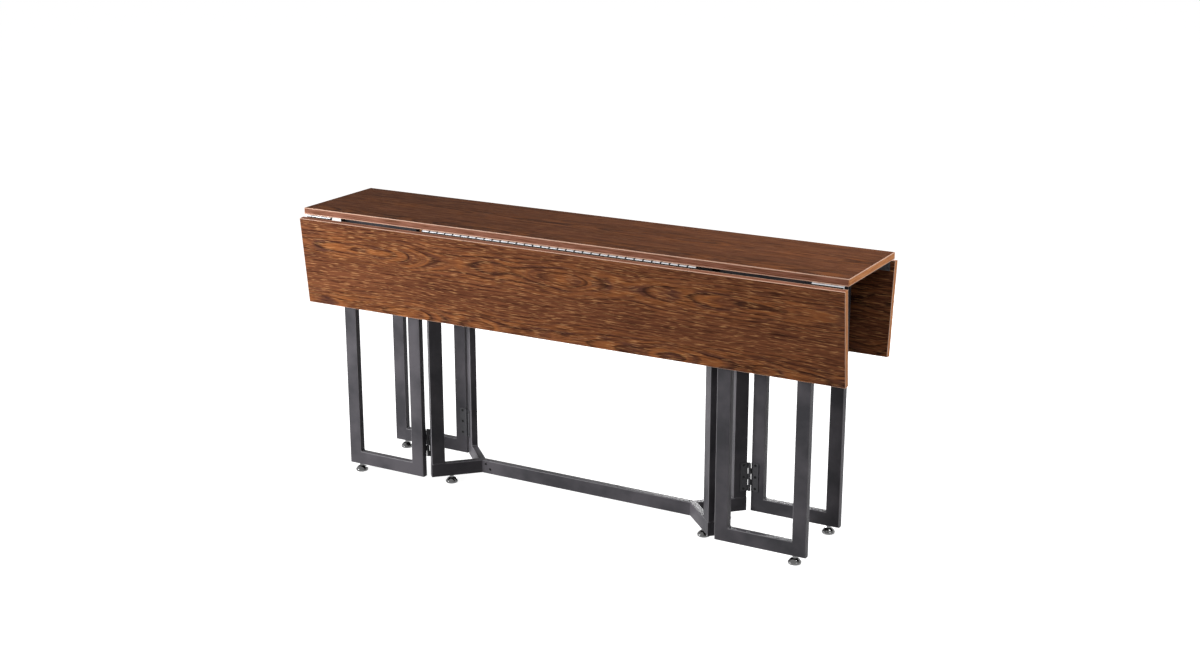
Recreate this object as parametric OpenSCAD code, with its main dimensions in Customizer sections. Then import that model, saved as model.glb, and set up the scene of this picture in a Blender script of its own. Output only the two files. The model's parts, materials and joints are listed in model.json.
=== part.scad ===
// Folding console table: a narrow centre board on a welded steel frame, a drop
// leaf on each long side, and four gates that swing out to carry the leaves.
//
// +X runs along the table, +Y towards the rear and +Z up. The origin is on the
// floor under the middle of the table. The leaves hang down and the gates are
// folded along the frame. Sizes are in millimetres.

/* [Table] */
// Length of the three boards
table_l = 1600; // [1300:10:2000]
// Height of the top surface above the floor
table_h = 762; // [700:1:800]

/* [Boards] */
// Width of the centre board
centre_w = 306; // [290:1:400]
// Width of each drop leaf
leaf_w = 245; // [200:1:350]
// Thickness of the boards
board_t = 18; // [16:1:25]
// Gap between the centre board and a raised leaf
leaf_gap = 2; // [1:0.5:4]
// Thickness of the edging strips
edging_t = 1; // [0.8:0.1:2]
// Bevel along the outer edges of the edging strips
edging_bevel = 0.6; // [0.2:0.1:0.7]
// Gap where a short edging strip meets a long one
edging_joint = 0.1; // [0.05:0.05:0.3]

/* [Steel tube] */
// Wide side of the frame tube
tube_w = 38; // [30:1:50]
// Narrow side of the frame tube
tube_d = 19; // [18:1:25]
// Wall of the frame tube
tube_wall = 1.5; // [1.2:0.1:2.5]
// Outer corner radius of the frame tube
tube_r = 2.5; // [2:0.1:4]

/* [Fixed frame] */
// Distance from the table's end to the corner where two braces meet
frame_inset = 470; // [400:5:560]
// Angle in plan between a brace and the table's length
brace_angle = 45; // [40:1:50]
// Width of the weld root between two mitred braces
weld_root = 0.1; // [0.05:0.05:0.5]
// Length of the tongue inside each end of the stretcher
tongue_l = 45; // [35:1:80]
// Play between the tongue and the stretcher's walls
tongue_play = 0.1; // [0.05:0.05:0.5]

/* [Gates] */
// Length of a gate frame from its hinge side to its free end
gate_l = 252; // [220:1:300]
// Distance that a folded gate sits behind the centre board's long edge
gate_setback = 32; // [30:1:50]
// Gap between the top of a gate and a raised leaf
gate_top_gap = 1.5; // [0.5:0.5:5]
// Gap between a gate's hinge side and its pin axis, along the gate
gate_pin_gap = 3; // [0.5:0.5:4]
// Gap between a post's outer edge and the pin axis, along the brace
post_pin_gap = 5; // [2:0.1:6]

/* [Feet] */
// Height of a foot from the floor to the underside of the frame
foot_h = 22; // [20:1:30]
// Diameter of the glide
glide_d = 35; // [28:1:45]
// Height of the glide's upright rim
glide_rim_h = 8; // [6:0.5:10]
// Rounding of the glide's rim
glide_rim_r = 3; // [1:0.5:3]
// Height of the dome above the rim
glide_dome_h = 9; // [6:0.5:10]
// Diameter of the glide's hub
hub_d = 12; // [11:0.5:14]
// Depth of the stem's socket in the hub
stem_socket = 8; // [5:1:12]
// Diameter of the threaded stem
stem_d = 8; // [6:1:10]
// Height of the stem above the underside of the frame
stem_h = 20; // [18:1:26]
// Radial play between the stem and its weld nut
stem_play = 0.05; // [0.02:0.01:0.1]
// Width across the flats of the weld nut
nut_w = 13; // [12:0.5:13.5]
// Height of the weld nut
nut_h = 10; // [6:1:12]
// Distance from the corner of the braces to a fixed foot
brace_foot_s = 90; // [60:1:100]
// Distance from a gate's free end to its foot
gate_foot_inset = 32; // [26:1:60]

/* [Leaf hinges] */
// Length of the piano hinge in the middle of each leaf
piano_l = 812; // [600:1:1000]
// Number of knuckles along the piano hinge
piano_knuckles = 33; // [21:2:45]
// Number of screws along each plate of the piano hinge
piano_screws = 14; // [8:1:20]
// Length of the short hinge near each end of a leaf
end_hinge_l = 80; // [60:1:120]
// Number of knuckles on the short hinge
end_knuckles = 5; // [3:2:7]
// Number of screws along each plate of the short hinge
end_screws = 3; // [2:1:4]
// Distance from the end of the leaf to the short hinge
end_hinge_inset = 12; // [6:1:60]
// Width of a leaf hinge plate from the pin axis
leaf_plate_w = 28; // [24:1:34]
// Thickness of a leaf hinge plate
leaf_plate_t = 2; // [1.5:0.1:2.2]
// Diameter of the leaf hinge pins
leaf_pin_d = 4.8; // [4:0.1:6]

/* [Gate hinges] */
// Length of a gate hinge
gate_hinge_l = 80; // [60:1:110]
// Number of knuckles on a gate hinge
gate_knuckles = 5; // [3:2:7]
// Number of screws along each plate of a gate hinge
gate_hinge_screws = 3; // [2:1:4]
// Distance from either end of a gate to the middle of the nearer hinge
gate_hinge_inset = 97; // [80:1:200]
// Width of a gate hinge plate from the pin axis
gate_plate_w = 24.5; // [21:0.5:26]
// Thickness of a gate hinge plate
gate_plate_t = 1.6; // [1.2:0.1:2.2]
// Diameter of the gate hinge pins
gate_pin_d = 4; // [3:0.1:5]

/* [Hinge details] */
// Radial play between a pin and its knuckles
pin_play = 0.05; // [0.02:0.01:0.1]
// Gap between neighbouring knuckles
knuckle_gap = 0.4; // [0.2:0.1:0.8]
// Height of a mounting face above the top of its knuckles
knuckle_drop = 0.1; // [0.05:0.05:0.3]
// Distance from the edge of a hinge plate to its screws
screw_edge = 9; // [7:0.5:11]
// Distance from the end of a hinge plate to its first screw
screw_inset = 7; // [6:0.5:12]

/* [Screws] */
// Diameter of the hinge screws
screw_d = 4; // [3:0.5:4.5]
// Length of the wood screws in the leaf hinges
wood_screw_l = 14; // [10:1:15]
// Length of the screws in the gate hinges
gate_screw_l = 10; // [6:1:12]
// Depth of the cross recess in a screw head
recess_depth = 1.2; // [0.6:0.1:1.4]
// Width of one slot of the cross recess
recess_w = 0.8; // [0.5:0.1:1]
// Diameter of the screws that hold the centre board on the frame
board_screw_d = 5; // [4:0.5:6]
// Depth of those screws in the board
board_screw_bite = 12; // [8:1:14]
// Distances from the corner of the braces to those screws
board_screw_s = [35, 85]; // [25:1:100]
// Diameter of the stretcher bolts
bolt_d = 4; // [3:0.5:5]
// Depth of those bolts in the tongue
bolt_bite = 6; // [4:0.5:10]
// Distances from the end of the stretcher's side to its bolts
bolt_x = [12, 26]; // [12:1:34]
// Heights of the bolts above the underside of the frame
bolt_z = [28, 14]; // [10:1:28]
// Clearance round a screw or bolt in a plain hole
hole_play = 0.2; // [0.1:0.1:0.5]

/* [Hidden] */
$fn = 64;
overshoot = 1;

// Heights
frame_z0 = foot_h;
board_z0 = table_h - board_t;
post_z0 = frame_z0 + tube_w;
upper_z0 = board_z0 - tube_w;
gate_h = board_z0 - gate_top_gap - frame_z0;

// A hinge's mounting face lies this far above the pin axis
function knuckle_r(pin_d, plate_t) = pin_d / 2 + pin_play + plate_t;
function mount_h(pin_d, plate_t) = knuckle_r(pin_d, plate_t) + knuckle_drop;
leaf_mount = mount_h(leaf_pin_d, leaf_plate_t);
gate_mount = mount_h(gate_pin_d, gate_plate_t);

// Leaf hinges: pin axis, and the tilt at which a leaf hangs in balance, with
// its centre of mass straight below the pin
leaf_pin_y = (centre_w + leaf_gap) / 2;
leaf_pin_z = board_z0 - leaf_mount;
leaf_tilt = atan((leaf_mount + board_t / 2) / (leaf_gap / 2 + leaf_w / 2));
end_hinge_x = table_l / 2 - end_hinge_inset - end_hinge_l / 2;
leaf_screw_y = leaf_plate_w - screw_edge;

// Gates and braces in plan, for the right rear corner
apex_x = table_l / 2 - frame_inset;
gate_y = centre_w / 2 - gate_setback - tube_d;
pin_y = gate_y - gate_mount;
pin_off = tube_d / 2 + gate_mount;
pin_s = (pin_y + pin_off * cos(brace_angle)) / sin(brace_angle);
pin_x = apex_x + pin_s * cos(brace_angle) + pin_off * sin(brace_angle);
brace_l = pin_s - post_pin_gap;
gate_x = pin_x + gate_pin_gap;
gate_foot_x = gate_x + gate_l - gate_foot_inset;
gate_hinge_zs = [frame_z0 + gate_hinge_inset, frame_z0 + gate_h - gate_hinge_inset];
gate_screw_x = gate_plate_w - screw_edge;

// The stretcher ends on the inboard faces of the braces, in a V notch
notch_x = apex_x - tube_d / 2 / sin(brace_angle);
stretcher_x = notch_x + tube_d / 2 / tan(brace_angle);
bolt_l = tube_wall + tongue_play + bolt_bite;

// ---------------------------------------------------------------- placing

// Mirrors the right rear corner to another: ex is -1 for the left end and 1
// for the right, sy is -1 for the front and 1 for the rear.
module corner(ex, sy) {
  mirror([ex < 0 ? 1 : 0, 0, 0])
    mirror([0, sy < 0 ? 1 : 0, 0])
      children();
}

module all_corners() {
  for (ex = [-1, 1], sy = [-1, 1]) corner(ex, sy) children();
}

// A brace's own frame in the right rear corner: X along the brace from the
// point where two braces meet, Y towards the middle of the table.
module brace_frame() {
  translate([apex_x, 0, 0]) rotate([0, 0, brace_angle]) children();
}

// The frame of a leaf's hinge line: X along the pin, Y away from the centre
// board, Z up. Drawn for the rear, mirrored for the front.
module leaf_frame(sy) {
  mirror([0, sy < 0 ? 1 : 0, 0]) translate([0, leaf_pin_y, leaf_pin_z]) children();
}

// Turns what is drawn on a raised leaf to where the leaf hangs
module hung() {
  rotate([-(90 + leaf_tilt), 0, 0]) children();
}

// ---------------------------------------------------------------- tube

module rounded_rect(w, h, r) {
  union() {
    square([w - 2 * r, h], center = true);
    square([w, h - 2 * r], center = true);
    for (x = [-1, 1], y = [-1, 1])
      translate([x * (w / 2 - r), y * (h / 2 - r)]) circle(r);
  }
}

// Rectangular tube along Z, narrow across X and wide across Y
module tube(l) {
  linear_extrude(l)
    difference() {
      rounded_rect(tube_d, tube_w, tube_r);
      rounded_rect(tube_d - 2 * tube_wall, tube_w - 2 * tube_wall, tube_r - tube_wall);
    }
}

// The same tube along X, wide across Z, standing on z = 0
module flat_tube(l) {
  translate([0, 0, tube_w / 2]) rotate([90, 0, 90]) tube(l);
}

// Tube along X with both ends mitred at 45 degrees: its outer side is on
// y = 0, its inner side on y = tube_w, and it lies on z = 0.
module mitred_tube(l) {
  intersection() {
    translate([0, tube_w / 2, tube_d / 2]) rotate([0, 90, 0]) tube(l);
    linear_extrude(tube_d)
      polygon([[0, 0], [l, 0], [l - tube_w, tube_w], [tube_w, tube_w]]);
  }
}

// ---------------------------------------------------------------- fasteners

module cross_recess() {
  for (a = [0, 90])
    rotate([0, 0, a])
      translate([-screw_d / 2, -recess_w / 2, -overshoot])
        cube([screw_d, recess_w, recess_depth + overshoot]);
}

// Countersunk screw along +Z, its head flush with z = 0
module countersunk_screw(l, head_h) {
  shank_r = screw_d / 2;
  difference() {
    union() {
      cylinder(h = head_h, r1 = shank_r + head_h, r2 = shank_r);
      translate([0, 0, head_h]) cylinder(h = l - head_h - shank_r, r = shank_r);
      translate([0, 0, l - shank_r]) cylinder(h = shank_r, r1 = shank_r, r2 = shank_r / 4);
    }
    cross_recess();
  }
}

// The countersunk hole for it in a plate of thickness t
module countersink(t) {
  shank_r = screw_d / 2 + hole_play / 2;
  cylinder(h = t, r1 = shank_r + t, r2 = shank_r);
}

// ---------------------------------------------------------------- hinges

// One half of a hinge laid flat. The pin is the Z axis, the plate runs along
// +X, and its mounting face is the mount_h plane above the pin along +Y.
// first is 0 for the half with the end knuckles and 1 for the other.
module hinge_half(l, w, t, pin_d, knuckles, first, screw_x, screw_zs) {
  r = knuckle_r(pin_d, t);
  face = mount_h(pin_d, t);
  pitch = l / knuckles;
  difference() {
    union() {
      translate([r + knuckle_gap, face - t, 0]) cube([w - r - knuckle_gap, t, l]);
      for (k = [first:2:knuckles - 1])
        translate([0, 0, k * pitch + knuckle_gap / 2]) {
          cylinder(h = pitch - knuckle_gap, r = r);
          translate([0, face - t, 0]) cube([w - overshoot, t, pitch - knuckle_gap]);
        }
    }
    translate([0, 0, -overshoot]) cylinder(h = l + 2 * overshoot, r = pin_d / 2 + pin_play);
    for (z = screw_zs) translate([screw_x, face - t, z]) rotate([-90, 0, 0]) countersink(t);
  }
}

// Puts its children at each screw of a half laid flat, pointing out of the
// exposed face into what the plate is screwed to
module at_screws(face, t, screw_x, screw_zs) {
  for (z = screw_zs) translate([screw_x, face - t, z]) rotate([-90, 0, 0]) children();
}

// Distances along a hinge to its screws
function screw_row(l, n) =
  [for (i = [0:n - 1]) screw_inset + i * (l - 2 * screw_inset) / (n - 1)];

// ---------------------------------------------------------------- leaf hinges

// Lays a hinge of length l along X, centred on x, in the leaf frame
module leaf_hinge_at(x, l) {
  translate([x - l / 2, 0, 0]) rotate([90, 0, 90]) children();
}

module leaf_hinge_half(l, knuckles, first, screws) {
  hinge_half(l, leaf_plate_w, leaf_plate_t, leaf_pin_d, knuckles, first,
             leaf_screw_y, screw_row(l, screws));
}

// Puts its children at every screw of one row of leaf hinge plates
module at_leaf_screws() {
  for (h = [[0, piano_l, piano_screws],
            [-end_hinge_x, end_hinge_l, end_screws],
            [end_hinge_x, end_hinge_l, end_screws]])
    leaf_hinge_at(h[0], h[1])
      at_screws(leaf_mount, leaf_plate_t, leaf_screw_y, screw_row(h[1], h[2]))
        children();
}

// A screw's pilot hole in a board, from its mounting face
module pilot() {
  translate([0, 0, leaf_plate_t - overshoot])
    cylinder(h = wood_screw_l - leaf_plate_t + overshoot, r = screw_d / 2);
}

module piano_top_plate(sy) {
  color("silver")
    leaf_frame(sy) mirror([0, 1, 0]) leaf_hinge_at(0, piano_l)
      leaf_hinge_half(piano_l, piano_knuckles, 0, piano_screws);
}

module piano_leaf_plate(sy) {
  color("gainsboro")
    leaf_frame(sy) hung() leaf_hinge_at(0, piano_l)
      leaf_hinge_half(piano_l, piano_knuckles, 1, piano_screws);
}

module end_top_plates(sy) {
  color("silver")
    for (x = [-end_hinge_x, end_hinge_x])
      leaf_frame(sy) mirror([0, 1, 0]) leaf_hinge_at(x, end_hinge_l)
        leaf_hinge_half(end_hinge_l, end_knuckles, 0, end_screws);
}

module end_leaf_plates(sy) {
  color("gainsboro")
    for (x = [-end_hinge_x, end_hinge_x])
      leaf_frame(sy) hung() leaf_hinge_at(x, end_hinge_l)
        leaf_hinge_half(end_hinge_l, end_knuckles, 1, end_screws);
}

module leaf_hinge_pins() {
  color("dimgray")
    for (sy = [-1, 1], h = [[0, piano_l], [-end_hinge_x, end_hinge_l], [end_hinge_x, end_hinge_l]])
      leaf_frame(sy) leaf_hinge_at(h[0], h[1]) cylinder(h = h[1], d = leaf_pin_d);
}

module top_hinge_screws() {
  color("lightsteelblue")
    for (sy = [-1, 1])
      leaf_frame(sy) mirror([0, 1, 0]) at_leaf_screws()
        countersunk_screw(wood_screw_l, leaf_plate_t);
}

module leaf_screws(sy) {
  color("lightsteelblue")
    leaf_frame(sy) hung() at_leaf_screws()
      countersunk_screw(wood_screw_l, leaf_plate_t);
}

// ---------------------------------------------------------------- boards

// The core of a board without its edging: length l, width w, on z = 0
module board_core(l, w) {
  translate([-l / 2 + edging_t, edging_t, 0])
    cube([l - 2 * edging_t, w - 2 * edging_t, board_t]);
}

// One edging strip along X on the outside of y = 0, bevelled on both edges
module edging_strip(l) {
  rotate([90, 0, 90])
    linear_extrude(l)
      polygon([
        [edging_t, 0], [edging_bevel, 0], [0, edging_bevel],
        [0, board_t - edging_bevel], [edging_bevel, board_t], [edging_t, board_t]
      ]);
}

// Four strips round a board: the long ones run through, the short ones fit
// between them
module board_edging(l, w) {
  corner_cut = edging_t + edging_joint;
  translate([-l / 2, 0, 0]) edging_strip(l);
  translate([-l / 2, w, 0]) mirror([0, 1, 0]) edging_strip(l);
  for (ex = [0, 1])
    mirror([ex, 0, 0])
      translate([-l / 2, w - corner_cut, 0])
        rotate([0, 0, -90]) edging_strip(w - 2 * corner_cut);
}

// Puts its children where the centre board lies
module centre_board_place() {
  translate([0, -centre_w / 2, board_z0]) children();
}

// Puts its children where a leaf lies in its hinge frame when raised
module leaf_place() {
  translate([0, leaf_gap / 2, leaf_mount]) children();
}

// Puts its children at the foot of each screw that holds the centre board
module at_board_screws() {
  all_corners() brace_frame()
    for (s = board_screw_s) translate([s, 0, upper_z0]) children();
}

module top_panel() {
  color("saddlebrown")
    difference() {
      centre_board_place() board_core(table_l, centre_w);
      for (sy = [-1, 1]) leaf_frame(sy) mirror([0, 1, 0]) at_leaf_screws() pilot();
      at_board_screws() cylinder(h = tube_w + board_screw_bite, d = board_screw_d);
    }
}

module top_edging() {
  color("rosybrown") centre_board_place() board_edging(table_l, centre_w);
}

module leaf(sy) {
  color("peru")
    leaf_frame(sy) hung()
      difference() {
        leaf_place() board_core(table_l, leaf_w);
        at_leaf_screws() pilot();
      }
}

module leaf_edging(sy) {
  color("rosybrown") leaf_frame(sy) hung() leaf_place() board_edging(table_l, leaf_w);
}

// ---------------------------------------------------------------- fixed frame

// The tube of one brace with its inner end mitred on the table's centre line
module brace_tube() {
  difference() {
    brace_frame()
      translate([-tube_d / 2 / tan(brace_angle), 0, 0])
        flat_tube(brace_l - tube_wall + tube_d / 2 / tan(brace_angle));
    translate([0, weld_root / 2 - table_l, -overshoot])
      cube([table_l, table_l, tube_w + 2 * overshoot]);
  }
}

// The hexagon weld nut of a foot, on the inside of a tube's lower wall
module weld_nut() {
  difference() {
    translate([0, 0, tube_wall]) cylinder(h = nut_h, d = nut_w / cos(30), $fn = 6);
    cylinder(h = tube_wall + nut_h + overshoot, d = stem_d + 2 * stem_play);
  }
}

// The hole for a foot's stem in a tube's lower wall
module stem_hole() {
  translate([0, 0, -overshoot])
    cylinder(h = tube_wall + 2 * overshoot, d = stem_d + 2 * stem_play + hole_play);
}

module brace_foot_place() {
  brace_frame() translate([brace_foot_s, 0, frame_z0]) children();
}

module lower_braces(ex) {
  color("dimgray")
    for (sy = [-1, 1])
      corner(ex, sy) {
        difference() {
          translate([0, 0, frame_z0]) brace_tube();
          brace_foot_place() stem_hole();
        }
        brace_foot_place() weld_nut();
      }
}

module upper_braces(ex) {
  color("dimgray")
    for (sy = [-1, 1])
      corner(ex, sy)
        difference() {
          translate([0, 0, upper_z0]) brace_tube();
          brace_frame()
            for (s = board_screw_s)
              translate([s, 0, upper_z0 - overshoot])
                cylinder(h = tube_w + 2 * overshoot, d = board_screw_d + 2 * hole_play);
        }
}

// Welded plates that close the outer ends of the braces
module brace_end_plates() {
  color("gray")
    all_corners() brace_frame()
      for (z = [frame_z0, upper_z0])
        translate([brace_l - tube_wall, 0, z + tube_w / 2])
          rotate([90, 0, 90]) linear_extrude(tube_wall) rounded_rect(tube_d, tube_w, tube_r);
}

// Pan head screws up through the upper braces into the centre board
module board_screws() {
  head_h = board_screw_d * 0.6;
  color("lightsteelblue")
    at_board_screws() {
      translate([0, 0, -head_h])
        difference() {
          cylinder(h = head_h, r1 = board_screw_d * 0.75, r2 = board_screw_d);
          cross_recess();
        }
      cylinder(h = tube_w + board_screw_bite, d = board_screw_d);
    }
}

// A post stands between the lower and the upper brace, flush with their ends.
// Its outboard face takes the plates of the gate hinges.
module post(ex, sy) {
  color("slategray")
    corner(ex, sy)
      difference() {
        brace_frame()
          translate([brace_l - tube_w / 2, 0, post_z0])
            rotate([0, 0, 90]) tube(upper_z0 - post_z0);
        at_gate_hinges() post_side() gate_hinge_taps();
      }
}

// Puts its children at the stretcher's bolts. Both ends of the frame are made
// alike and the right one is turned half round, so the bolts enter the left end
// from the front and the right end from the rear.
module at_stretcher_bolts() {
  for (turn = [0, 180], i = [0, 1])
    rotate([0, 0, turn])
      translate([bolt_x[i] - stretcher_x, -tube_d / 2, frame_z0 + bolt_z[i]])
        rotate([-90, 0, 0]) children();
}

// The braces' corner, which the ends of the stretcher and tongues fit round
module brace_corner_cut() {
  depth = tube_d;
  for (ex = [-1, 1])
    mirror([ex < 0 ? 1 : 0, 0, 0])
      translate([0, 0, frame_z0 - overshoot])
        linear_extrude(tube_w + 2 * overshoot)
          polygon([
            [notch_x, 0],
            [notch_x + depth / tan(brace_angle), depth],
            [notch_x + depth / tan(brace_angle), -depth]
          ]);
}

module stretcher() {
  color("dimgray")
    difference() {
      translate([-stretcher_x, 0, frame_z0]) flat_tube(2 * stretcher_x);
      brace_corner_cut();
      at_stretcher_bolts()
        translate([0, 0, -overshoot])
          cylinder(h = tube_d / 2, d = bolt_d + 2 * hole_play);
    }
}

// Blocks welded to the braces' corners that fill the ends of the stretcher
module stretcher_tongues() {
  tongue_d = tube_d - 2 * (tube_wall + tongue_play);
  tongue_h = tube_w - 2 * (tube_wall + tongue_play);
  color("gray")
    difference() {
      for (ex = [-1, 1])
        mirror([ex < 0 ? 1 : 0, 0, 0])
          translate([stretcher_x - tongue_l, 0, frame_z0 + tube_w / 2])
            rotate([90, 0, 90])
              linear_extrude(tongue_l) rounded_rect(tongue_d, tongue_h, tube_r - tube_wall);
      brace_corner_cut();
      at_stretcher_bolts() cylinder(h = bolt_l, d = bolt_d);
    }
}

// Button head bolts through the stretcher's wall into the tongues
module stretcher_bolts() {
  head_h = bolt_d / 2;
  color("black")
    at_stretcher_bolts() {
      translate([0, 0, -head_h])
        difference() {
          cylinder(h = head_h, r1 = bolt_d * 0.55, r2 = bolt_d * 0.9);
          translate([0, 0, -overshoot]) cylinder(h = overshoot + head_h / 2, d = bolt_d * 0.65, $fn = 6);
        }
      cylinder(h = bolt_l, d = bolt_d);
    }
}

// ---------------------------------------------------------------- gate hinges

// Puts its children at the foot of both hinge pins of the right rear gate
module at_gate_hinges() {
  for (z = gate_hinge_zs) translate([pin_x, pin_y, z - gate_hinge_l / 2]) children();
}

// Turns a half laid flat on the gate to the post's side of the pin
module post_side() {
  rotate([0, 0, brace_angle]) mirror([1, 0, 0]) children();
}

module gate_hinge_half(first) {
  hinge_half(gate_hinge_l, gate_plate_w, gate_plate_t, gate_pin_d, gate_knuckles, first,
             gate_screw_x, screw_row(gate_hinge_l, gate_hinge_screws));
}

module gate_hinge_at_screws() {
  at_screws(gate_mount, gate_plate_t, gate_screw_x, screw_row(gate_hinge_l, gate_hinge_screws))
    children();
}

// The tapped holes that the hinge screws leave in a tube's wall
module gate_hinge_taps() {
  gate_hinge_at_screws()
    translate([0, 0, gate_plate_t - overshoot])
      cylinder(h = tube_wall + 2 * overshoot, d = screw_d);
}

module gate_hinge_post_plates() {
  color("black") all_corners() at_gate_hinges() post_side() gate_hinge_half(0);
}

module gate_hinge_pins() {
  color("dimgray") all_corners() at_gate_hinges() cylinder(h = gate_hinge_l, d = gate_pin_d);
}

module gate_hinge_post_screws() {
  color("black")
    all_corners() at_gate_hinges() post_side()
      gate_hinge_at_screws() countersunk_screw(gate_screw_l, gate_plate_t);
}

module gate_plates(ex, sy) {
  color("black") corner(ex, sy) at_gate_hinges() gate_hinge_half(1);
}

module gate_screws(ex, sy) {
  color("black")
    corner(ex, sy) at_gate_hinges()
      gate_hinge_at_screws() countersunk_screw(gate_screw_l, gate_plate_t);
}

// ---------------------------------------------------------------- gates

// A gate's own frame: X along the gate from its hinge side, Y up from its
// underside, and Z from its outer face to its inner one
module gate_frame() {
  translate([gate_x, gate_y + tube_d, frame_z0]) rotate([90, 0, 0]) children();
}

// The two uprights, mitred into the rails
module gate_stiles(ex, sy) {
  color("darkslategray")
    corner(ex, sy)
      difference() {
        gate_frame() {
          mirror([1, -1, 0]) mitred_tube(gate_h);
          translate([gate_l, 0, 0]) mirror([1, 0, 0]) mirror([1, -1, 0]) mitred_tube(gate_h);
        }
        at_gate_hinges() gate_hinge_taps();
      }
}

module gate_foot_place() {
  translate([gate_foot_x, gate_y + tube_d / 2, frame_z0]) children();
}

// The two rails, and the weld nut in the lower one
module gate_rails(ex, sy) {
  color("darkslategray")
    corner(ex, sy) {
      difference() {
        gate_frame() {
          mitred_tube(gate_l);
          translate([0, gate_h, 0]) mirror([0, 1, 0]) mitred_tube(gate_l);
        }
        gate_foot_place() stem_hole();
      }
      gate_foot_place() weld_nut();
    }
}

// ---------------------------------------------------------------- feet

// The glide's outline: a rounded rim, a dome and the hub that bears on the tube
module glide_outline() {
  glide_r = glide_d / 2;
  dome_base = glide_r - glide_rim_r / 2;
  dome_r = (dome_base * dome_base + glide_dome_h * glide_dome_h) / (2 * glide_dome_h);
  union() {
    square([glide_r - glide_rim_r, glide_rim_h]);
    translate([0, glide_rim_r]) square([glide_r, glide_rim_h - 2 * glide_rim_r]);
    for (z = [glide_rim_r, glide_rim_h - glide_rim_r])
      translate([glide_r - glide_rim_r, z]) circle(glide_rim_r);
    intersection() {
      translate([0, glide_rim_h + glide_dome_h - dome_r]) circle(dome_r);
      translate([0, glide_rim_h / 2]) square([dome_base, glide_rim_h + glide_dome_h]);
    }
    square([hub_d / 2, foot_h]);
  }
}

// Levelling foot hung from z = 0: a moulded glide on a threaded steel stem
module levelling_foot() {
  translate([0, 0, -foot_h])
    difference() {
      rotate_extrude() glide_outline();
      translate([0, 0, foot_h - stem_socket]) cylinder(h = stem_socket + overshoot, d = stem_d);
    }
  translate([0, 0, -stem_socket]) cylinder(h = stem_h + stem_socket, d = stem_d);
}

module brace_foot(ex, sy) {
  color("black") corner(ex, sy) brace_foot_place() levelling_foot();
}

module gate_foot(ex, sy) {
  color("black") corner(ex, sy) gate_foot_place() levelling_foot();
}

// ---------------------------------------------------------------- assembly

top_panel();
top_edging();
stretcher();
stretcher_tongues();
stretcher_bolts();
lower_braces(-1);  // left_lower_braces
lower_braces(1);  // right_lower_braces
upper_braces(-1);  // left_upper_braces
upper_braces(1);  // right_upper_braces
brace_end_plates();
board_screws();
post(-1, -1);  // left_front_post
post(-1, 1);  // left_rear_post
post(1, -1);  // right_front_post
post(1, 1);  // right_rear_post
piano_top_plate(-1);  // front_piano_top_plate
piano_top_plate(1);  // rear_piano_top_plate
end_top_plates(-1);  // front_end_top_plates
end_top_plates(1);  // rear_end_top_plates
leaf_hinge_pins();
top_hinge_screws();
gate_hinge_post_plates();
gate_hinge_pins();
gate_hinge_post_screws();
leaf(-1);  // front_leaf
leaf_edging(-1);  // front_leaf_edging
piano_leaf_plate(-1);  // front_piano_leaf_plate
end_leaf_plates(-1);  // front_end_leaf_plates
leaf_screws(-1);  // front_leaf_screws
leaf(1);  // rear_leaf
leaf_edging(1);  // rear_leaf_edging
piano_leaf_plate(1);  // rear_piano_leaf_plate
end_leaf_plates(1);  // rear_end_leaf_plates
leaf_screws(1);  // rear_leaf_screws
gate_stiles(-1, -1);  // left_front_gate_stiles
gate_rails(-1, -1);  // left_front_gate_rails
gate_plates(-1, -1);  // left_front_gate_plates
gate_screws(-1, -1);  // left_front_gate_screws
gate_stiles(-1, 1);  // left_rear_gate_stiles
gate_rails(-1, 1);  // left_rear_gate_rails
gate_plates(-1, 1);  // left_rear_gate_plates
gate_screws(-1, 1);  // left_rear_gate_screws
gate_stiles(1, -1);  // right_front_gate_stiles
gate_rails(1, -1);  // right_front_gate_rails
gate_plates(1, -1);  // right_front_gate_plates
gate_screws(1, -1);  // right_front_gate_screws
gate_stiles(1, 1);  // right_rear_gate_stiles
gate_rails(1, 1);  // right_rear_gate_rails
gate_plates(1, 1);  // right_rear_gate_plates
gate_screws(1, 1);  // right_rear_gate_screws
brace_foot(-1, -1);  // left_front_foot
brace_foot(-1, 1);  // left_rear_foot
brace_foot(1, -1);  // right_front_foot
brace_foot(1, 1);  // right_rear_foot
gate_foot(-1, -1);  // left_front_gate_foot
gate_foot(-1, 1);  // left_rear_gate_foot
gate_foot(1, -1);  // right_front_gate_foot
gate_foot(1, 1);  // right_rear_gate_foot
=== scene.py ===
import json
import math

import bpy
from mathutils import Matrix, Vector


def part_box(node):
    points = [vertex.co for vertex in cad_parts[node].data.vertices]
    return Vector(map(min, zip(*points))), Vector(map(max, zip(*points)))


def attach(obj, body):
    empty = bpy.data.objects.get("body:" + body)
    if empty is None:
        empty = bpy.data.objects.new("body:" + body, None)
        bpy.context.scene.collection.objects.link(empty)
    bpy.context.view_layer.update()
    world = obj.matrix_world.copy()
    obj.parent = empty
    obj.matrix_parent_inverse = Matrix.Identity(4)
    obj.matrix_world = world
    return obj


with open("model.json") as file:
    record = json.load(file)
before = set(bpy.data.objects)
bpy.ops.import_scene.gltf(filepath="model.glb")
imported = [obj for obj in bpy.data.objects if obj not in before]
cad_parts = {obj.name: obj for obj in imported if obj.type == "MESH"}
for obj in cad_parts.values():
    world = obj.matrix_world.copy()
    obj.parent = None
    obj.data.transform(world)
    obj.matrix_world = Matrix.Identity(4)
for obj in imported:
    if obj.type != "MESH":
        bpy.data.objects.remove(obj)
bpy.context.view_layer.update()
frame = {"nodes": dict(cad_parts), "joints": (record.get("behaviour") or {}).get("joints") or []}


# ---------------------------------------------------------------- camera
# A normal lens on the front right corner of the folded table, about 1.8 m above
# the floor. It looks at a point near the middle of the table.

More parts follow.
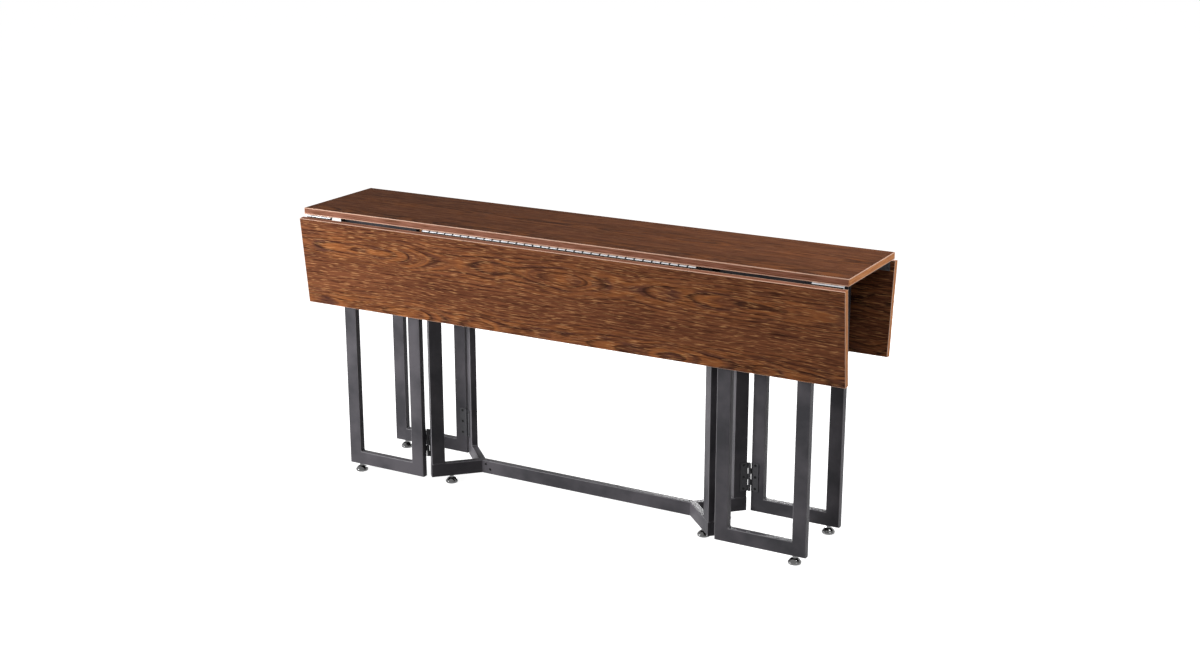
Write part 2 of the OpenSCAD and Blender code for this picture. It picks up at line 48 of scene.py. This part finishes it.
camera_target = Vector((0.0370, 0.0205, 0.4714))
camera_azimuth = math.radians(29.2)
camera_elevation = math.radians(16.52)
camera_distance = 4.669
towards_camera = Vector((
    math.sin(camera_azimuth) * math.cos(camera_elevation),
    -math.cos(camera_azimuth) * math.cos(camera_elevation),
    math.sin(camera_elevation),
))
bpy.ops.object.camera_add(location=camera_target + towards_camera * camera_distance)
camera = bpy.context.object
camera.rotation_euler = towards_camera.to_track_quat("Z", "Y").to_euler()
camera.data.lens = 52.57
bpy.context.scene.camera = camera
bpy.context.scene.view_settings.view_transform = "Standard"


# ---------------------------------------------------------------- studio
# A white surround, a pale floor that keeps the table's shadow, a soft key light
# at the left of the front, one over the right end and one low behind the table.

def srgb(code):
    """Linear colour of an sRGB hex code."""
    shares = [int(code[i:i + 2], 16) / 255 for i in (1, 3, 5)]
    return [s / 12.92 if s <= 0.04045 else ((s + 0.055) / 1.055) ** 2.4 for s in shares] + [1]


def add(tree, kind, inputs=(), **settings):
    """Adds a node: its settings first, then a value, a socket or a node for each input."""
    made = tree.nodes.new("ShaderNode" + kind)
    for setting, value in settings.items():
        setattr(made, setting, value)
    for key, value in dict(inputs).items():
        if isinstance(key, int):
            socket = made.inputs[key]
        else:
            socket = next(s for s in made.inputs if s.enabled and s.name == key)
        if isinstance(value, bpy.types.Node):
            value = next(s for s in value.outputs if s.enabled)
        if isinstance(value, bpy.types.NodeSocket):
            tree.links.new(value, socket)
        else:
            socket.default_value = value
    return made


def new_finish(name):
    """A new material of that name, and its empty tree."""
    finish = bpy.data.materials.new(name)
    finish.use_nodes = True
    finish.node_tree.nodes.clear()
    return finish, finish.node_tree


def seen_directly(tree):
    """1 for rays that show the background: camera, mirror and glass rays."""
    path = add(tree, "LightPath")
    seen = add(tree, "Math", {0: path.outputs["Is Camera Ray"],
                              1: path.outputs["Is Glossy Ray"]}, operation="MAXIMUM")
    return add(tree, "Math", {0: seen, 1: path.outputs["Is Transmission Ray"]},
               operation="MAXIMUM")


ambient = 0.1
world = bpy.data.worlds.new("studio")
world.use_nodes = True
world.node_tree.nodes.clear()
bpy.context.scene.world = world
tree = world.node_tree
surround = add(tree, "MixShader", {
    0: seen_directly(tree),
    1: add(tree, "Background", {"Color": srgb("#ffffff"), "Strength": ambient}),
    2: add(tree, "Background", {"Color": srgb("#ffffff"), "Strength": 1}),
})
add(tree, "OutputWorld", {"Surface": surround})

# seen directly, the floor glows by what the surround's light on it leaves short of
# white, so it darkens only where the table keeps that light off
floor_side = 60
floor_shade = 0.7
bpy.ops.mesh.primitive_plane_add(size=floor_side, location=(0, 0, 0))
floor = bpy.context.object
floor.name = "studio_floor"
paper, tree = new_finish("pale_floor")
shadow_keeper = add(tree, "AddShader", {
    0: add(tree, "BsdfDiffuse", {"Color": [floor_shade] * 3 + [1]}),
    1: add(tree, "Emission", {"Color": srgb("#ffffff"), "Strength": 1 - floor_shade * ambient}),
})
floor_surface = add(tree, "MixShader", {
    0: seen_directly(tree),
    1: add(tree, "BsdfDiffuse", {"Color": srgb("#9c9c9a")}),
    2: shadow_keeper,
})
add(tree, "OutputMaterial", {"Surface": floor_surface})
floor.data.materials.append(paper)

for name, place, aim, side, power in [
    ("key_light", (-2.5, -2.3, 1.15), (-0.1, -0.1, 0.5), 0.9, 113),
    ("top_light", (1.8, 0.2, 2.7), (0.4, 0, 0.75), 1.0, 55),
    ("rear_light", (-0.7, 2.5, 0.45), (0, 0.1, 0.45), 0.6, 44),
]:
    bpy.ops.object.light_add(type="AREA", location=place)
    lamp = bpy.context.object
    lamp.name = name
    lamp.rotation_euler = (Vector(place) - Vector(aim)).to_track_quat("Z", "Y").to_euler()
    lamp.data.shape = "SQUARE"
    lamp.data.size = side
    lamp.data.energy = power
    lamp.visible_camera = False


# ---------------------------------------------------------------- centre board
# An 18 mm particle board on the steel frame, faced with a flat cut, walnut brown
# veneer whose grain runs along it. The open pores stay sharp under a thin satin
# lacquer, and the lips between them are painted light as short ticks: a painted
# highlight where they would catch the light.

MM = 0.001


def dress(finish, *nodes):
    """Gives a CAD node's surface this material."""
    for node in nodes:
        for slot in frame["nodes"][node].material_slots:
            slot.material = finish


def board_axes(tree, place, turn, side):
    """Millimetres along, across and through a board from its hinge or front edge."""
    here = add(tree, "TexCoord").outputs["Object"]
    return add(tree, "Mapping", {
        "Vector": here, "Location": place, "Rotation": (turn, 0, 0),
        "Scale": (MM, side * MM, MM),
    }, vector_type="TEXTURE")


def veneer(name, placing, seed, piths, tones, figure, pores_and_highlights):
    """Flat cut veneer. A board cuts the tree's rings in nested arches where the pith
    runs close below it, and in straight lines elsewhere. piths lists such lines:
    distance across the board, depth, change of depth, and length of that change, in
    millimetres. figure says how strongly the figure shows, and the last argument how
    strongly the pores and the painted highlights on their lips show."""
    finish, tree = new_finish(name)
    board = board_axes(tree, *placing)
    fibre_depth = 11

    def grain(vector, length, width, layer, detail=2, distortion=0):
        """Noise drawn out along the fibres, in millimetres. Each layer is a new one."""
        place = add(tree, "VectorMath", {0: vector, 1: (1 / length, 1 / width, 1 / fibre_depth)},
                    operation="MULTIPLY")
        return add(tree, "TexNoise", {
            "Vector": place, "W": seed + layer, "Scale": 1, "Detail": detail,
            "Distortion": distortion,
        }, noise_dimensions="4D")

    # the fibres wander by a few millimetres over a hand's length
    sway = 26
    along, across, through = add(tree, "SeparateXYZ", {0: board}).outputs
    drift = grain(board, length=330, width=90, layer=0)
    wander = add(tree, "Math", {0: drift, 1: sway, 2: across}, operation="MULTIPLY_ADD")
    fibres = add(tree, "CombineXYZ", {0: along, 1: wander, 2: through})

    # the tree's rings, as the distance of each point from the nearest pith. Each pith
    # rises and sinks by a noise of its own, and where the rings of two piths meet they
    # run into each other
    meeting = 25
    next_pith = 3.7
    ring = nearest = None
    for number, (line, depth, swing, wave) in enumerate(piths):
        step = add(tree, "Math", {0: along, 1: 1 / wave, 2: seed + next_pith * number},
                   operation="MULTIPLY_ADD")
        rise = add(tree, "TexNoise", {"W": step, "Scale": 1, "Detail": 1.5},
                   noise_dimensions="1D")
        below = add(tree, "Math", {0: rise, 1: 2 * swing, 2: depth - swing},
                    operation="MULTIPLY_ADD")
        aside = add(tree, "Math", {0: wander, 1: line + sway / 2}, operation="SUBTRACT")
        flat = add(tree, "CombineXYZ", {0: aside, 1: below})
        radius = add(tree, "VectorMath", {0: flat}, operation="LENGTH").outputs["Value"]
        off = add(tree, "Math", {0: aside}, operation="ABSOLUTE")
        if ring is None:
            ring, nearest = radius, off
        else:
            ring = add(tree, "Math", {0: ring, 1: radius, 2: meeting}, operation="SMOOTH_MIN")
            nearest = add(tree, "Math", {0: nearest, 1: off}, operation="MINIMUM")
    rings = add(tree, "CombineXYZ", {0: along, 1: ring, 2: through})

    # plain wood: streaks of two browns, from broad bands down to bundles of fibres
    mixed = 0.5
    for length, width, weight, layer in [(420, 30, 1.2, 1), (150, 4.2, 2.2, 2)]:
        band = add(tree, "Math", {0: grain(fibres, length, width, layer), 1: 0.5},
                   operation="SUBTRACT")
        mixed = add(tree, "Math", {0: band, 1: weight, 2: mixed}, operation="MULTIPLY_ADD")
    colour = add(tree, "Mix", {"Factor": mixed, "A": srgb(tones["light"]),
                               "B": srgb(tones["dark"])}, data_type="RGBA")

    # amber wood and smoky patches in the heart of the figure
    heart = add(tree, "MapRange", {"Value": nearest, "From Min": 14, "From Max": 60,
                                   "To Min": figure, "To Max": 0})
    for tone, low, high, layer in [("amber", 0.42, 0.6, 5), ("smoke", 0.5, 0.62, 4)]:
        blot = grain(rings, length=90, width=7, layer=layer)
        blot = add(tree, "MapRange", {"Value": blot, "From Min": low, "From Max": high,
                                      "To Max": 0.6})
        blot = add(tree, "Math", {0: blot, 1: heart}, operation="MULTIPLY")
        colour = add(tree, "Mix", {"Factor": blot, "A": colour, "B": srgb(tones[tone])},
                     data_type="RGBA")

    # late wood: each ring darkens slowly and ends sharply, feathered by the fibres. It
    # shows in some stretches more than in others, and most in the heart
    ring_width = 8
    feather_width = 2
    feather = grain(fibres, length=30, width=3.4, layer=6)
    uneven = add(tree, "Math", {0: feather, 1: feather_width, 2: ring},
                 operation="MULTIPLY_ADD")
    count = add(tree, "Math", {0: uneven, 1: ring_width}, operation="DIVIDE")
    phase = add(tree, "Math", {0: count}, operation="FRACT")
    darkens = add(tree, "MapRange", {"Value": phase, "From Min": 0.5, "From Max": 0.88},
                  interpolation_type="SMOOTHSTEP")
    ends = add(tree, "MapRange", {"Value": phase, "From Min": 0.9, "From Max": 1,
                                  "To Min": 1, "To Max": 0})
    stretches = grain(rings, length=300, width=8, layer=7)
    shown = add(tree, "MapRange", {"Value": stretches, "From Min": 0.34, "From Max": 0.5,
                                   "To Min": 0.2})
    near = add(tree, "MapRange", {"Value": nearest, "From Min": 24, "From Max": 70,
                                  "To Min": 0.8 * figure, "To Max": 0.45 * figure})
    late = darkens
    for share in (ends, shown, near):
        late = add(tree, "Math", {0: late, 1: share}, operation="MULTIPLY")
    colour = add(tree, "Mix", {"Factor": late, "A": colour, "B": srgb(tones["late"])},
                 data_type="RGBA")

    # open pores: dark grooves, with shorter lips between them, painted light as a
    # painted highlight where they would catch the light. A real one is a third of
    # this width, and they are drawn this coarse to show
    groove = grain(fibres, length=60, width=2.6, layer=8, detail=1, distortion=0.4)
    lip = grain(fibres, length=36, width=2, layer=9, detail=1, distortion=0.3)
    for tone, mark, low, high in [("lip_highlight", lip, 0.57, 0.67), ("pore", groove, 0.45, 0.35)]:
        part = add(tree, "MapRange", {"Value": mark, "From Min": low, "From Max": high,
                                      "To Max": pores_and_highlights})
        colour = add(tree, "Mix", {"Factor": part, "A": colour, "B": srgb(tones[tone])},
                     data_type="RGBA")

    # the lacquer's gloss varies with the fibres, and it sinks into the pores
    rough = add(tree, "MapRange", {"Value": feather, "To Min": 0.5, "To Max": 0.7})
    bump = add(tree, "Bump", {"Height": groove, "Strength": 0.6, "Distance": 0.5 * MM})
    shader = add(tree, "BsdfPrincipled", {"Base Color": colour, "Roughness": rough,
                                          "Normal": bump, "Specular IOR Level": 0.01})
    add(tree, "OutputMaterial", {"Surface": shader})
    return finish


board_low, board_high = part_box("top_panel")
rim_low, rim_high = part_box("top_edging")
top_placing = ((0, rim_low.y, board_low.z), 0, 1)
# the top's tones are darker than the leaves': a darker veneer, and in part painted shade for the
# light that the top lacks. The lightest is the painted highlight on the lips between the pores
top_tones_painted_shade = {"light": "#7c4c33", "dark": "#4c2d1e", "late": "#2c1810", "smoke": "#3a2620",
             "amber": "#824c28", "lip_highlight": "#8f6040", "pore": "#2a160e"}
dress(veneer("satin_walnut_veneer_top", top_placing, seed=5,
             piths=[(170, 32, 36, 520), (20, 44, 36, 520)],
             tones=top_tones_painted_shade, figure=0.8, pores_and_highlights=0.6), "top_panel")


# ---------------------------------------------------------------- drop leaves
# The same veneered board, hinged below the centre board's long edges. A leaf
# hangs a few degrees inward of upright, where its weight is below the pin, and
# its grain runs along the length too.

pins_low, pins_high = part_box("leaf_hinge_pins")
pin_radius = (pins_high.z - pins_low.z) / 2
pin_y = pins_high.y - pin_radius
pin_z = pins_high.z - pin_radius
leaf_joint = next(j for j in frame["joints"] if j["name"] == "front_leaf_fold")
leaf_turn = math.radians(leaf_joint["range_deg"][1])
front_placing = ((0, -pin_y, pin_z), leaf_turn, -1)
rear_placing = ((0, pin_y, pin_z), -leaf_turn, 1)
# the lightest of these tones is the painted highlight on the lips between the pores
leaf_tones = {"light": "#90593b", "dark": "#5e3728", "late": "#38221c", "smoke": "#4c3331",
              "amber": "#b87240", "lip_highlight": "#d89c68", "pore": "#2e1612"}
for side, placing, seed, piths in [
    ("front", front_placing, 1, [(69, 27, 42, 420), (236, 28, 42, 380)]),
    ("rear", rear_placing, 8, [(110, 27, 42, 420), (250, 28, 42, 380)]),
]:
    dress(veneer(f"satin_walnut_veneer_{side}", placing, seed, piths,
                 tones=leaf_tones, figure=1, pores_and_highlights=0.65), f"{side}_leaf")


# ---------------------------------------------------------------- edging
# Wood-printed plastic strips glued round each board. Their print is lighter and
# pinker than the veneer and runs along the strip. Trimming bevels both arrises
# and bares the pale plastic, which shows as a thin bright line.

edging = (rim_high.x - board_high.x) / MM
half_length = rim_high.x / MM
board_thickness = (board_high.z - board_low.z) / MM
leaf_mount = (board_low.z - pin_z) / MM


def edge_band(name, placing, underside):
    """An edging's print. The two short ends are painted a brighter orange, painted
    light for the light that falls on those faces. underside is the height of the
    board's underside above the zero of its axes."""
    finish, tree = new_finish(name)
    along, across, through = add(tree, "SeparateXYZ", {0: board_axes(tree, *placing)}).outputs

    # the strips on the two short ends, found with a little to spare
    spare = 0.2
    out = add(tree, "Math", {0: along}, operation="ABSOLUTE")
    is_end = add(tree, "Math", {0: out, 1: half_length - edging - spare},
                 operation="GREATER_THAN")

    # the print's lines, with a pattern of their own on the ends
    line_length = 60
    line_width = 2.4
    end_pattern = 9
    run = add(tree, "Mix", {"Factor": is_end, "A": along, "B": across})
    place = add(tree, "CombineXYZ", {0: run, 1: through, 2: is_end})
    lines = add(tree, "VectorMath", {0: place, 1: (1 / line_length, 1 / line_width, end_pattern)},
                operation="MULTIPLY")
    lines = add(tree, "TexNoise", {"Vector": lines, "Scale": 1, "Detail": 2})
    lines = add(tree, "MapRange", {"Value": lines, "From Min": 0.35, "From Max": 0.65})
    side_colour = add(tree, "Mix", {"Factor": lines, "A": srgb("#a06c58"),
                                    "B": srgb("#70452f")}, data_type="RGBA")
    # painted light: the ends' brighter orange stands in for the light on those faces
    lit_end_colour = add(tree, "Mix", {"Factor": lines, "A": srgb("#dc965e"),
                                   "B": srgb("#b67042")}, data_type="RGBA")
    colour = add(tree, "Mix", {"Factor": is_end, "A": side_colour, "B": lit_end_colour},
                 data_type="RGBA")

    # the bared line along both arrises. A real one is about 1 mm wide, and it is
    # drawn twice as wide to show
    bare_full = 1.6
    bare_edge = 2.6
    half_thickness = board_thickness / 2
    rise = add(tree, "Math", {0: through, 1: underside + half_thickness}, operation="SUBTRACT")
    rise = add(tree, "Math", {0: rise}, operation="ABSOLUTE")
    bare = add(tree, "MapRange", {"Value": rise, "From Min": half_thickness - bare_edge,
                                  "From Max": half_thickness - bare_full})
    colour = add(tree, "Mix", {"Factor": bare, "A": colour, "B": srgb("#e2b8a0")},
                 data_type="RGBA")

    bump = add(tree, "Bump", {"Height": lines, "Strength": 0.3, "Distance": 0.2 * MM})
    shader = add(tree, "BsdfPrincipled", {"Base Color": colour, "Roughness": 0.5,
                                          "Normal": bump, "Specular IOR Level": 0.05})
    add(tree, "OutputMaterial", {"Surface": shader})
    return finish


dress(edge_band("edge_band_top", top_placing, 0), "top_edging")
dress(edge_band("edge_band_front", front_placing, leaf_mount), "front_leaf_edging")
dress(edge_band("edge_band_rear", rear_placing, leaf_mount), "rear_leaf_edging")


# ---------------------------------------------------------------- steel frame
# Welded 38 x 19 mm rectangular tube: posts between V-shaped braces, and a low
# stretcher bolted on between the two lower Vs. All of it is powder coated in a
# fine textured charcoal, whose grit spreads every highlight into a soft sheen.

def powder_coat(name, turn):
    """The coat on tubes that stand turned by that angle about Z."""
    finish, tree = new_finish(name)
    place = add(tree, "TexCoord")
    here = place.outputs["Object"]

    # the real grit is about a quarter of this size, and is drawn this coarse to show
    grit_size = 1.4
    grit = add(tree, "TexNoise", {"Vector": here, "Scale": 1 / (grit_size * MM), "Detail": 2})

    # the coat is lighter in some places than in others, in clouds a few tubes wide
    cloud_size = 110
    cloud = add(tree, "TexNoise", {"Vector": here, "Scale": 1 / (cloud_size * MM), "Detail": 4})
    cloud = add(tree, "MapRange", {"Value": cloud, "From Min": 0.38, "From Max": 0.64})
    colour = add(tree, "Mix", {"Factor": cloud, "A": srgb("#4a494d"), "B": srgb("#646166")},
                 data_type="RGBA")

    # painted highlight: a tube's rounded arrises, where its surface faces none of the
    # four sides, are painted pale, as if they caught the light
    facing = add(tree, "VectorRotate", {"Vector": place.outputs["Normal"], "Angle": turn},
                 rotation_type="Z_AXIS")
    facing = add(tree, "VectorMath", {0: facing}, operation="ABSOLUTE")
    sides = add(tree, "SeparateXYZ", {0: facing}).outputs
    squarely = add(tree, "Math", {0: sides[0], 1: sides[1]}, operation="MAXIMUM")
    squarely = add(tree, "Math", {0: squarely, 1: sides[2]}, operation="MAXIMUM")
    arris_highlight = add(tree, "MapRange", {"Value": squarely, "From Min": 0.99, "From Max": 0.85,
                                   "To Max": 0.9})
    colour = add(tree, "Mix", {"Factor": arris_highlight, "A": colour, "B": srgb("#949296")},
                 data_type="RGBA")

    rough = add(tree, "MapRange", {"Value": grit, "To Min": 0.32, "To Max": 0.52})
    bump = add(tree, "Bump", {"Height": grit, "Strength": 0.35, "Distance": 0.15 * MM})
    shader = add(tree, "BsdfPrincipled", {"Base Color": colour, "Roughness": rough,
                                          "Normal": bump, "Specular IOR Level": 0.06})
    add(tree, "OutputMaterial", {"Surface": shader})
    return finish


ENDS = ("left", "right")
SIDES = ("front", "rear")
LEVELS = ("lower", "upper")
corners = [f"{end}_{side}" for end in ENDS for side in SIDES]
brace_turn = math.pi / 4
square_coat = powder_coat("charcoal_powder_coat", 0)
turned_coat = powder_coat("charcoal_powder_coat_braces", brace_turn)
dress(square_coat, "stretcher", "stretcher_tongues")
dress(turned_coat, "brace_end_plates", *[f"{corner}_post" for corner in corners],
      *[f"{end}_{level}_braces" for end in ENDS for level in LEVELS])


# ---------------------------------------------------------------- gates
# Four frames of the same tube, mitred and welded at the corners and ground flush
# on the outside, in the same coat. They hang on the posts, and swung out they
# carry the leaves.

for corner in corners:
    dress(square_coat, f"{corner}_gate_stiles", f"{corner}_gate_rails")


# ---------------------------------------------------------------- welds
# Short runs of MIG weld under the powder coat: a rippled fillet in each inside
# corner, and a low flat seam where two tubes meet flush. The gates' mitres are
# ground flat, so only the fillets in their windows' corners are left.

def weld_run(name, length, across, proud):
    """A rippled run along X, round the origin, with tapered ends. It reaches that far
    across and that far proud of the line that it follows, and only a share of that at
    its tips and in the dips between its ripples."""
    ripple = 2.2 * MM
    tip = 0.5
    dip = 0.86
    steps = 2 * round(length / ripple)
    shares = [tip] + [1 if step % 2 else dip for step in range(1, steps)] + [tip]
    bpy.ops.object.select_all(action="DESELECT")
    bpy.ops.mesh.primitive_circle_add(
        vertices=12, radius=tip, fill_type="NGON",
        location=(-length / 2, 0, 0), rotation=(0, math.pi / 2, 0),
    )
    run = bpy.context.object
    run.name = name
    bpy.ops.object.mode_set(mode="EDIT")
    bpy.ops.mesh.select_all(action="SELECT")
    bpy.ops.transform.resize(value=(1, proud, across))
    for before, after in zip(shares, shares[1:]):
        bpy.ops.mesh.extrude_region_move(
            TRANSFORM_OT_translate={"value": (length / steps, 0, 0)})
        bpy.ops.transform.resize(value=(1, after / before, after / before))
    bpy.ops.mesh.select_all(action="SELECT")
    bpy.ops.mesh.normals_make_consistent(inside=False)
    # extruding leaves the faces in a new order each time. They are put in one order
    # by their distance from a point off the run's axis, where no two are level
    bpy.context.scene.cursor.location = (-1, 0.3, 0.2)
    bpy.ops.mesh.sort_elements(type="CURSOR_DISTANCE", elements={"VERT", "EDGE", "FACE"})
    bpy.ops.object.mode_set(mode="OBJECT")
    bpy.ops.object.shade_smooth()
    return run


def laid(run, place, turn):
    """A copy of a run, with its own mesh, at that place and turned that way."""
    bpy.ops.object.select_all(action="DESELECT")
    bpy.context.view_layer.objects.active = run
    run.select_set(True)
    bpy.ops.object.duplicate()
    copy = bpy.context.object
    bpy.ops.object.transform_apply()
    copy.rotation_euler = turn
    copy.location = place
    return copy


def welded(name, body, finish, runs):
    """Joins runs into one piece that rides on a body."""
    bpy.ops.object.select_all(action="DESELECT")
    for run in runs:
        run.select_set(True)
    bpy.context.view_layer.objects.active = runs[0]
    bpy.ops.object.join()
    bpy.ops.object.transform_apply()
    weld = bpy.context.object
    weld.name = name
    weld.data.materials.append(finish)
    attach(weld, body)


stretcher_low, stretcher_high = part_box("stretcher")
tube_w = stretcher_high.z - stretcher_low.z
tube_d = stretcher_high.y - stretcher_low.y
fillet_leg = 2.4 * MM
seam_reach = 1.8 * MM
seam_rise = 0.6 * MM

# each run stops this far short of the tube's sides, at both of its ends
fillet_short = 1 * MM
valley_short = 1.5 * MM
seam_short = 3 * MM
fillet = weld_run("fillet", tube_d - 2 * fillet_short, fillet_leg, fillet_leg)
valley_fillet = weld_run("valley_fillet", tube_w - 2 * valley_short, fillet_leg, fillet_leg)
end_seam = weld_run("end_seam", tube_d - 2 * seam_short, seam_reach, seam_rise)
side_seam = weld_run("side_seam", tube_w - 2 * seam_short, seam_reach, seam_rise)

runs = []
upright = (0, -math.pi / 2, 0)
for end in ENDS:
    for side in SIDES:
        post_low, post_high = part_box(f"{end}_{side}_post")
        centre = (post_low + post_high) / 2
        out = Vector((math.copysign(1, centre.x), math.copysign(1, centre.y), 0)).normalized()
        aside = Vector((-out.y, out.x, 0))
        heading = math.atan2(out.y, out.x)
        for level in (post_low.z, post_high.z):
            joint = Vector((centre.x, centre.y, level))
            runs.append(laid(fillet, joint - out * tube_w / 2, (0, 0, heading + math.pi / 2)))
            runs.append(laid(end_seam, joint + out * tube_w / 2, (0, 0, heading + math.pi / 2)))
            for hand in (-1, 1):
                runs.append(laid(side_seam, joint + aside * hand * tube_d / 2, (0, 0, heading)))
    for level in LEVELS:
        brace_low, brace_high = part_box(f"{end}_{level}_braces")
        inner = brace_high.x if end == "left" else brace_low.x
        valley = inner + math.copysign(tube_d * math.sqrt(2), inner)
        middle = (brace_low.z + brace_high.z) / 2
        runs.append(laid(valley_fillet, (valley, 0, middle), upright))
welded("frame_welds", "frame", turned_coat, runs)

for corner in corners:
    gate_low, gate_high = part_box(f"{corner}_gate_stiles")
    middle = (gate_low.y + gate_high.y) / 2
    runs = []
    for x in (gate_low.x + tube_w, gate_high.x - tube_w):
        for z in (gate_low.z + tube_w, gate_high.z - tube_w):
            runs.append(laid(fillet, (x, middle, z), (0, 0, math.pi / 2)))
    welded(f"{corner}_gate_welds", f"{corner}_gate", square_coat, runs)

bpy.ops.object.select_all(action="DESELECT")
for pattern in (fillet, valley_fillet, end_seam, side_seam):
    pattern.select_set(True)
bpy.ops.object.delete()


# ---------------------------------------------------------------- gate hinges
# Stamped butt hinges in the frame's own charcoal. The paint is smoother than the
# frame's coat and shines a little more. Their pins and countersunk screws, and
# the stretcher's bolts, are blackened steel, near black with a soft oily shine.

def mottled(name, spot, detail, tones, roughness, sockets):
    """A finish whose colour and roughness vary softly between two values each, in
    spots of that size in millimetres."""
    finish, tree = new_finish(name)
    here = add(tree, "TexCoord").outputs["Object"]
    spots = add(tree, "TexNoise", {"Vector": here, "Scale": 1 / (spot * MM), "Detail": detail})
    colour = add(tree, "Mix", {"Factor": spots, "A": srgb(tones[0]), "B": srgb(tones[1])},
                 data_type="RGBA")
    rough = add(tree, "MapRange", {"Value": spots, "To Min": roughness[0],
                                   "To Max": roughness[1]})
    shader = add(tree, "BsdfPrincipled", {"Base Color": colour, "Roughness": rough, **sockets})
    add(tree, "OutputMaterial", {"Surface": shader})
    return finish


hinge_paint = mottled("black_hinge_paint", spot=6, detail=4, tones=("#434346", "#58585b"),
                      roughness=(0.3, 0.55), sockets={"Specular IOR Level": 0.2})
black_steel = mottled("blackened_steel_screw", spot=2, detail=2, tones=("#080808", "#141415"),
                      roughness=(0.3, 0.5), sockets={"Specular IOR Level": 0.2})
dress(hinge_paint, "gate_hinge_post_plates", *[f"{corner}_gate_plates" for corner in corners])
dress(black_steel, "gate_hinge_post_screws", "gate_hinge_pins", "stretcher_bolts",
      *[f"{corner}_gate_screws" for corner in corners])


# ---------------------------------------------------------------- leaf hinges
# Zinc plated steel: a long piano hinge in the middle of each leaf and a short
# butt hinge near each end, with plated screws into the boards. Their pins are
# bare drawn steel, cleaner and more even than the plating.

def zinc_plate(name, knuckle=None, first=0):
    """Zinc plating on a leaf hinge: bright on the barrel, and darkened on the plates
    with painted shade. On a hinge with knuckles of that length in millimetres from
    first on, the joints between them are dark, and their darkening also stands in
    for the shade in the gaps. The barrel's lower part is darkened with painted shade too."""
    finish, tree = new_finish(name)
    here = add(tree, "TexCoord").outputs["Object"]
    spangle_size = 5
    spangle = add(tree, "TexNoise", {"Vector": here, "Scale": 1 / (spangle_size * MM),
                                     "Detail": 4})
    colour = add(tree, "Mix", {"Factor": spangle, "A": srgb("#e8e9ec"),
                               "B": srgb("#b0b1b5")}, data_type="RGBA")

    # the barrel's own radius is 4.45 mm
    barrel_reach = 5 * MM
    x, y, z = add(tree, "SeparateXYZ", {0: here}).outputs
    y = add(tree, "Math", {0: y}, operation="ABSOLUTE")
    section = add(tree, "CombineXYZ", {0: y, 1: z})
    away = add(tree, "VectorMath", {0: section, 1: (pin_y, pin_z, 0)},
               operation="DISTANCE").outputs["Value"]
    barrel = add(tree, "Math", {0: away, 1: barrel_reach}, operation="LESS_THAN")

    # painted shade: the barrel is darkened where its lower part nears the leaf's edge, for the
    # shadow there
    shade_begins = pin_z + 2 * MM
    dark = pin_z + 1.2 * MM
    joints_and_painted_shade = add(tree, "MapRange", {"Value": z, "From Min": shade_begins, "From Max": dark})
    # the joints between knuckles are dark, and this darkening also paints the shade in their gaps
    if knuckle:
        count = add(tree, "Math", {0: x, 1: 1 / (knuckle * MM), 2: -first / knuckle},
                    operation="MULTIPLY_ADD")
        share = add(tree, "Math", {0: count}, operation="FRACT")
        share = add(tree, "Math", {0: share, 1: 0.5}, operation="SUBTRACT")
        share = add(tree, "Math", {0: share}, operation="ABSOLUTE")
        # the dark ends are drawn 3 mm long, twice what a real hinge shows
        dark_end = 3
        joint = add(tree, "MapRange", {"Value": share, "From Min": 0.5 - dark_end / knuckle,
                                       "From Max": 0.5 - dark_end / 2 / knuckle})
        joints_and_painted_shade = add(tree, "Math", {0: joints_and_painted_shade, 1: joint}, operation="MAXIMUM")
    joints_and_painted_shade = add(tree, "Math", {0: joints_and_painted_shade, 1: barrel}, operation="MULTIPLY")
    # painted shade: the plates away from the barrel are darkened for the shade they lie in
    painted_plate_shade = add(tree, "MapRange", {"Value": barrel, "To Min": 0.8, "To Max": 0})
    for share, tone in [(painted_plate_shade, "#4a4b4e"), (joints_and_painted_shade, "#1c1d1f")]:
        colour = add(tree, "Mix", {"Factor": share, "A": colour, "B": srgb(tone)},
                     data_type="RGBA")

    rough = add(tree, "MapRange", {"Value": spangle, "To Min": 0.28, "To Max": 0.53})
    shader = add(tree, "BsdfPrincipled", {"Base Color": colour, "Roughness": rough,
                                          "Metallic": 1})
    add(tree, "OutputMaterial", {"Surface": shader})
    return finish


piano_low, piano_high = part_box("front_piano_top_plate")
piano_knuckles = 33
knuckle = (piano_high.x - piano_low.x) / piano_knuckles / MM
dress(zinc_plate("bright_zinc_piano_hinge", knuckle, piano_low.x / MM),
      "front_piano_top_plate", "rear_piano_top_plate", "front_piano_leaf_plate",
      "rear_piano_leaf_plate")
dress(zinc_plate("bright_zinc_plate"), "front_end_top_plates", "rear_end_top_plates",
      "front_end_leaf_plates", "rear_end_leaf_plates", "top_hinge_screws",
      "front_leaf_screws", "rear_leaf_screws", "board_screws")
pin_steel = mottled("drawn_steel_pin", spot=1.5, detail=2, tones=("#8f9194", "#a9abad"),
                    roughness=(0.2, 0.4), sockets={"Metallic": 1})
dress(pin_steel, "leaf_hinge_pins")


# ---------------------------------------------------------------- feet
# Moulded black nylon glides on threaded stems, which screw into weld nuts in the
# tube. The moulding has a polished skin, with the faint flow marks of its gate.

glide = mottled("black_moulded_nylon", spot=9, detail=3, tones=("#0b0b0c", "#141415"),
                roughness=(0.1, 0.16), sockets={
                    "Specular IOR Level": 1, "Coat Weight": 1, "Coat IOR": 1.6,
                    "Coat Roughness": 0.1,
                })
for corner in corners:
    dress(glide, f"{corner}_foot", f"{corner}_gate_foot")
